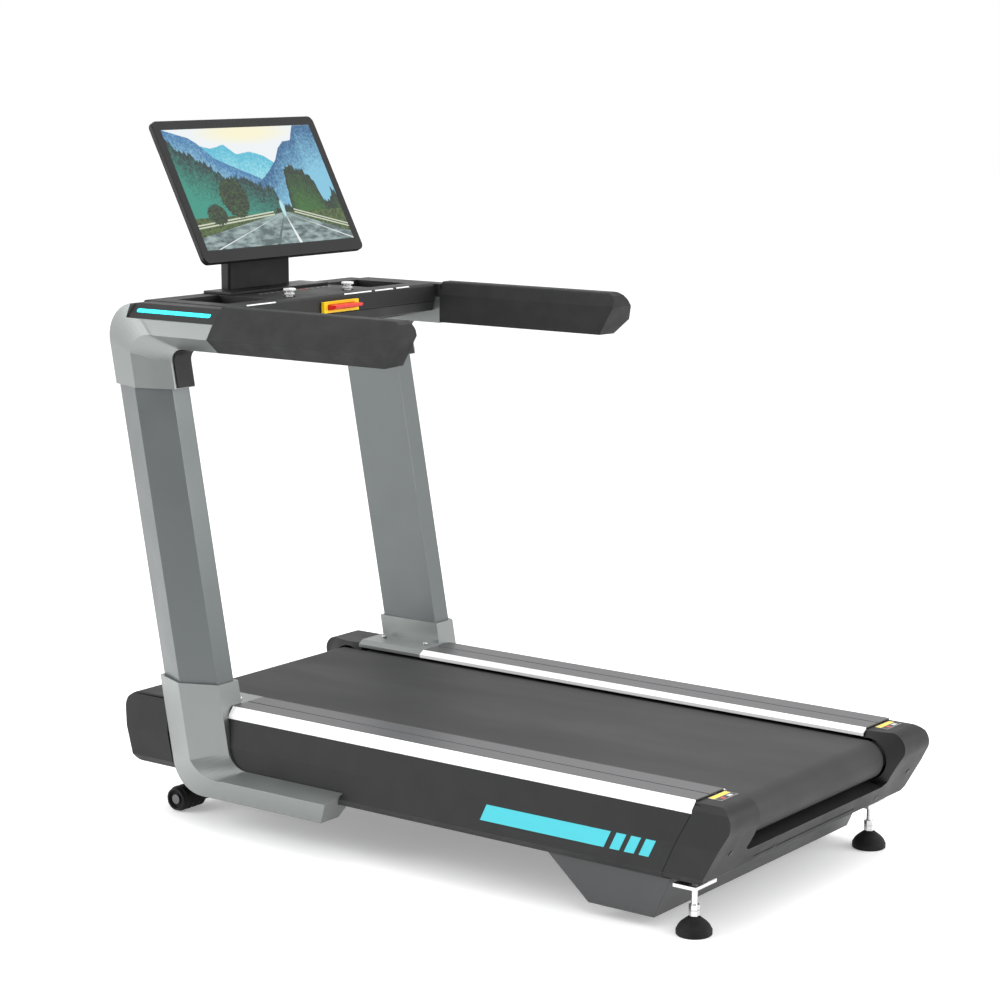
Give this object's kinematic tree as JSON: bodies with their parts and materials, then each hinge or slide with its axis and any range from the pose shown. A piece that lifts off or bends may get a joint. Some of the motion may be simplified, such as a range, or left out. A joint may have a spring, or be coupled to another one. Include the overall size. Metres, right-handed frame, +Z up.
{
  "type": "treadmill",
  "caption": "Motorised treadmill with a flat running deck, leaning uprights, long handgrips, tilted console screen, levelling feet and powered incline wheels.",
  "frame": {"origin": "on the floor, at the middle of the overall bounding box", "axes": "+Y is the way the user walks, towards the console; +X is the user's right; +Z is up"},
  "size_m": [1.008, 1.8106, 1.7237],
  "materials": {
    "rail_aluminium": "satin anodised",
    "silver_casting": "satin silver paint on an aluminium casting",
    "upright_paint": "grey-green metallic paint",
    "black_plastic": "fine-grained matte",
    "gloss_black": "gloss",
    "grip_foam": "soft matte",
    "belt_fabric": "fine diamond texture",
    "frame_steel": "powder-coated",
    "belly_paint": "powder-coated",
    "bright_steel": "zinc-plated",
    "board_wood": "waxed laminate",
    "foot_rubber": "matte",
    "cast_drive": "machined",
    "display_glass": "lit display",
    "stop_red": "gloss",
    "stop_yellow": "gloss",
    "toggle_white": "gloss with bright edge"
  },
  "bodies": {
    "chassis": {"arm_pods": "black_plastic", "belly_box": "belly_paint", "belly_supports": "frame_steel", "bracket_inserts": "black_plastic", "console_bottom": "black_plastic", "console_top": "black_plastic", "cross_tubes": "frame_steel", "deck_board": "board_wood", "deck_cushions": "foot_rubber", "display_panel": "display_glass", "drive_belt": "belt_fabric", "foot_casting_left": "silver_casting", "foot_casting_right": "silver_casting", "frame_beam_left": "frame_steel", "frame_beam_right": "frame_steel", "frame_brackets": "bright_steel", "front_axle": "bright_steel", "front_cover": "black_plastic", "handgrip_left": "grip_foam", "handgrip_right": "grip_foam", "lift_actuator": "cast_drive", "motor_casing": "cast_drive", "motor_driver": "black_plastic", "neck": "black_plastic", "neck_plate": "gloss_black", "power_inlet": "black_plastic", "rear_cover": "black_plastic", "roller_bearings": "cast_drive", "running_belt": "belt_fabric", "screen_bracket": "frame_steel", "screen_frame": "gloss_black", "screen_housing": "black_plastic", "side_panel_left": "black_plastic", "side_panel_right": "black_plastic", "side_rail_left": "rail_aluminium", "side_rail_right": "rail_aluminium", "stop_frame": "stop_yellow", "upper_bracket_left": "silver_casting", "upper_bracket_right": "silver_casting", "upright_fixings": "bright_steel", "upright_left": "upright_paint", "upright_right": "upright_paint"},
    "rear_roller": {"rear_roller": "bright_steel", "roller_pulley": "cast_drive"},
    "front_roller": {"front_roller": "bright_steel"},
    "motor_rotor": {"motor_shaft": "bright_steel", "flywheel": "cast_drive"},
    "lift_frame": {"lift_frame": "frame_steel", "wheel_axles": "cast_drive"},
    "wheel_left": {"wheel_left": "foot_rubber"},
    "wheel_right": {"wheel_right": "foot_rubber"},
    "lift_rod": {"lift_rod": "bright_steel"},
    "foot_left": {"foot_pad_left": "foot_rubber", "foot_stem_left": "bright_steel"},
    "foot_right": {"foot_pad_right": "foot_rubber", "foot_stem_right": "bright_steel"},
    "speed_toggle": {"speed_toggle": "toggle_white"},
    "incline_toggle": {"incline_toggle": "toggle_white"},
    "stop_bar": {"stop_bar": "stop_red"},
    "power_rocker": {"power_rocker": "stop_red"}
  },
  "joints": [
    {"name": "rear_roller_spin", "type": "hinge", "parent": "chassis", "child": "rear_roller", "pos_m": [0, -0.815, 0.246], "axis": [1, 0, 0], "continuous": true},
    {"name": "front_roller_spin", "type": "hinge", "parent": "chassis", "child": "front_roller", "pos_m": [0, 0.789, 0.246], "axis": [1, 0, 0], "continuous": true},
    {"name": "motor_spin", "type": "hinge", "parent": "chassis", "child": "motor_rotor", "pos_m": [0, -0.606, 0.115], "axis": [1, 0, 0], "continuous": true},
    {"name": "lift_hinge", "type": "hinge", "parent": "chassis", "child": "lift_frame", "pos_m": [0, 0.437, 0.15], "axis": [1, 0, 0], "range_deg": [-40, 0]},
    {"name": "wheel_left_spin", "type": "hinge", "parent": "lift_frame", "child": "wheel_left", "pos_m": [-0.36, 0.768, 0.032], "axis": [1, 0, 0], "continuous": true},
    {"name": "wheel_right_spin", "type": "hinge", "parent": "lift_frame", "child": "wheel_right", "pos_m": [0.36, 0.768, 0.032], "axis": [1, 0, 0], "continuous": true},
    {"name": "lift_rod_slide", "type": "slide", "parent": "chassis", "child": "lift_rod", "axis": [0, 1, 0], "range_m": [-0.042, 0]},
    {"name": "foot_left_height", "type": "slide", "parent": "chassis", "child": "foot_left", "axis": [0, 0, 1], "range_m": [-0.015, 0.015]},
    {"name": "foot_right_height", "type": "slide", "parent": "chassis", "child": "foot_right", "axis": [0, 0, 1], "range_m": [-0.015, 0.015]},
    {"name": "speed_toggle_rock", "type": "hinge", "parent": "chassis", "child": "speed_toggle", "pos_m": [-0.112, 0.615, 1.28], "axis": [1, 0, 0], "range_deg": [-12, 12], "stiffness_Nm_per_rad": 0.8},
    {"name": "incline_toggle_rock", "type": "hinge", "parent": "chassis", "child": "incline_toggle", "pos_m": [0.112, 0.615, 1.28], "axis": [1, 0, 0], "range_deg": [-12, 12], "stiffness_Nm_per_rad": 0.8},
    {"name": "stop_bar_press", "type": "slide", "parent": "chassis", "child": "stop_bar", "axis": [0, 1, 0], "range_m": [0, 0.004], "stiffness_N_per_m": 2500},
    {"name": "power_rocker_tilt", "type": "hinge", "parent": "chassis", "child": "power_rocker", "pos_m": [0.2685, 0.868, 0.152], "axis": [1, 0, 0], "range_deg": [-7, 7]}
  ],
  "couplings": [
    {"joint": "front_roller_spin", "follows": "rear_roller_spin", "ratio": 1},
    {"joint": "motor_spin", "follows": "rear_roller_spin", "ratio": 1.4},
    {"joint": "lift_rod_slide", "follows": "lift_hinge", "m_per_rad": 0.0588}
  ]
}
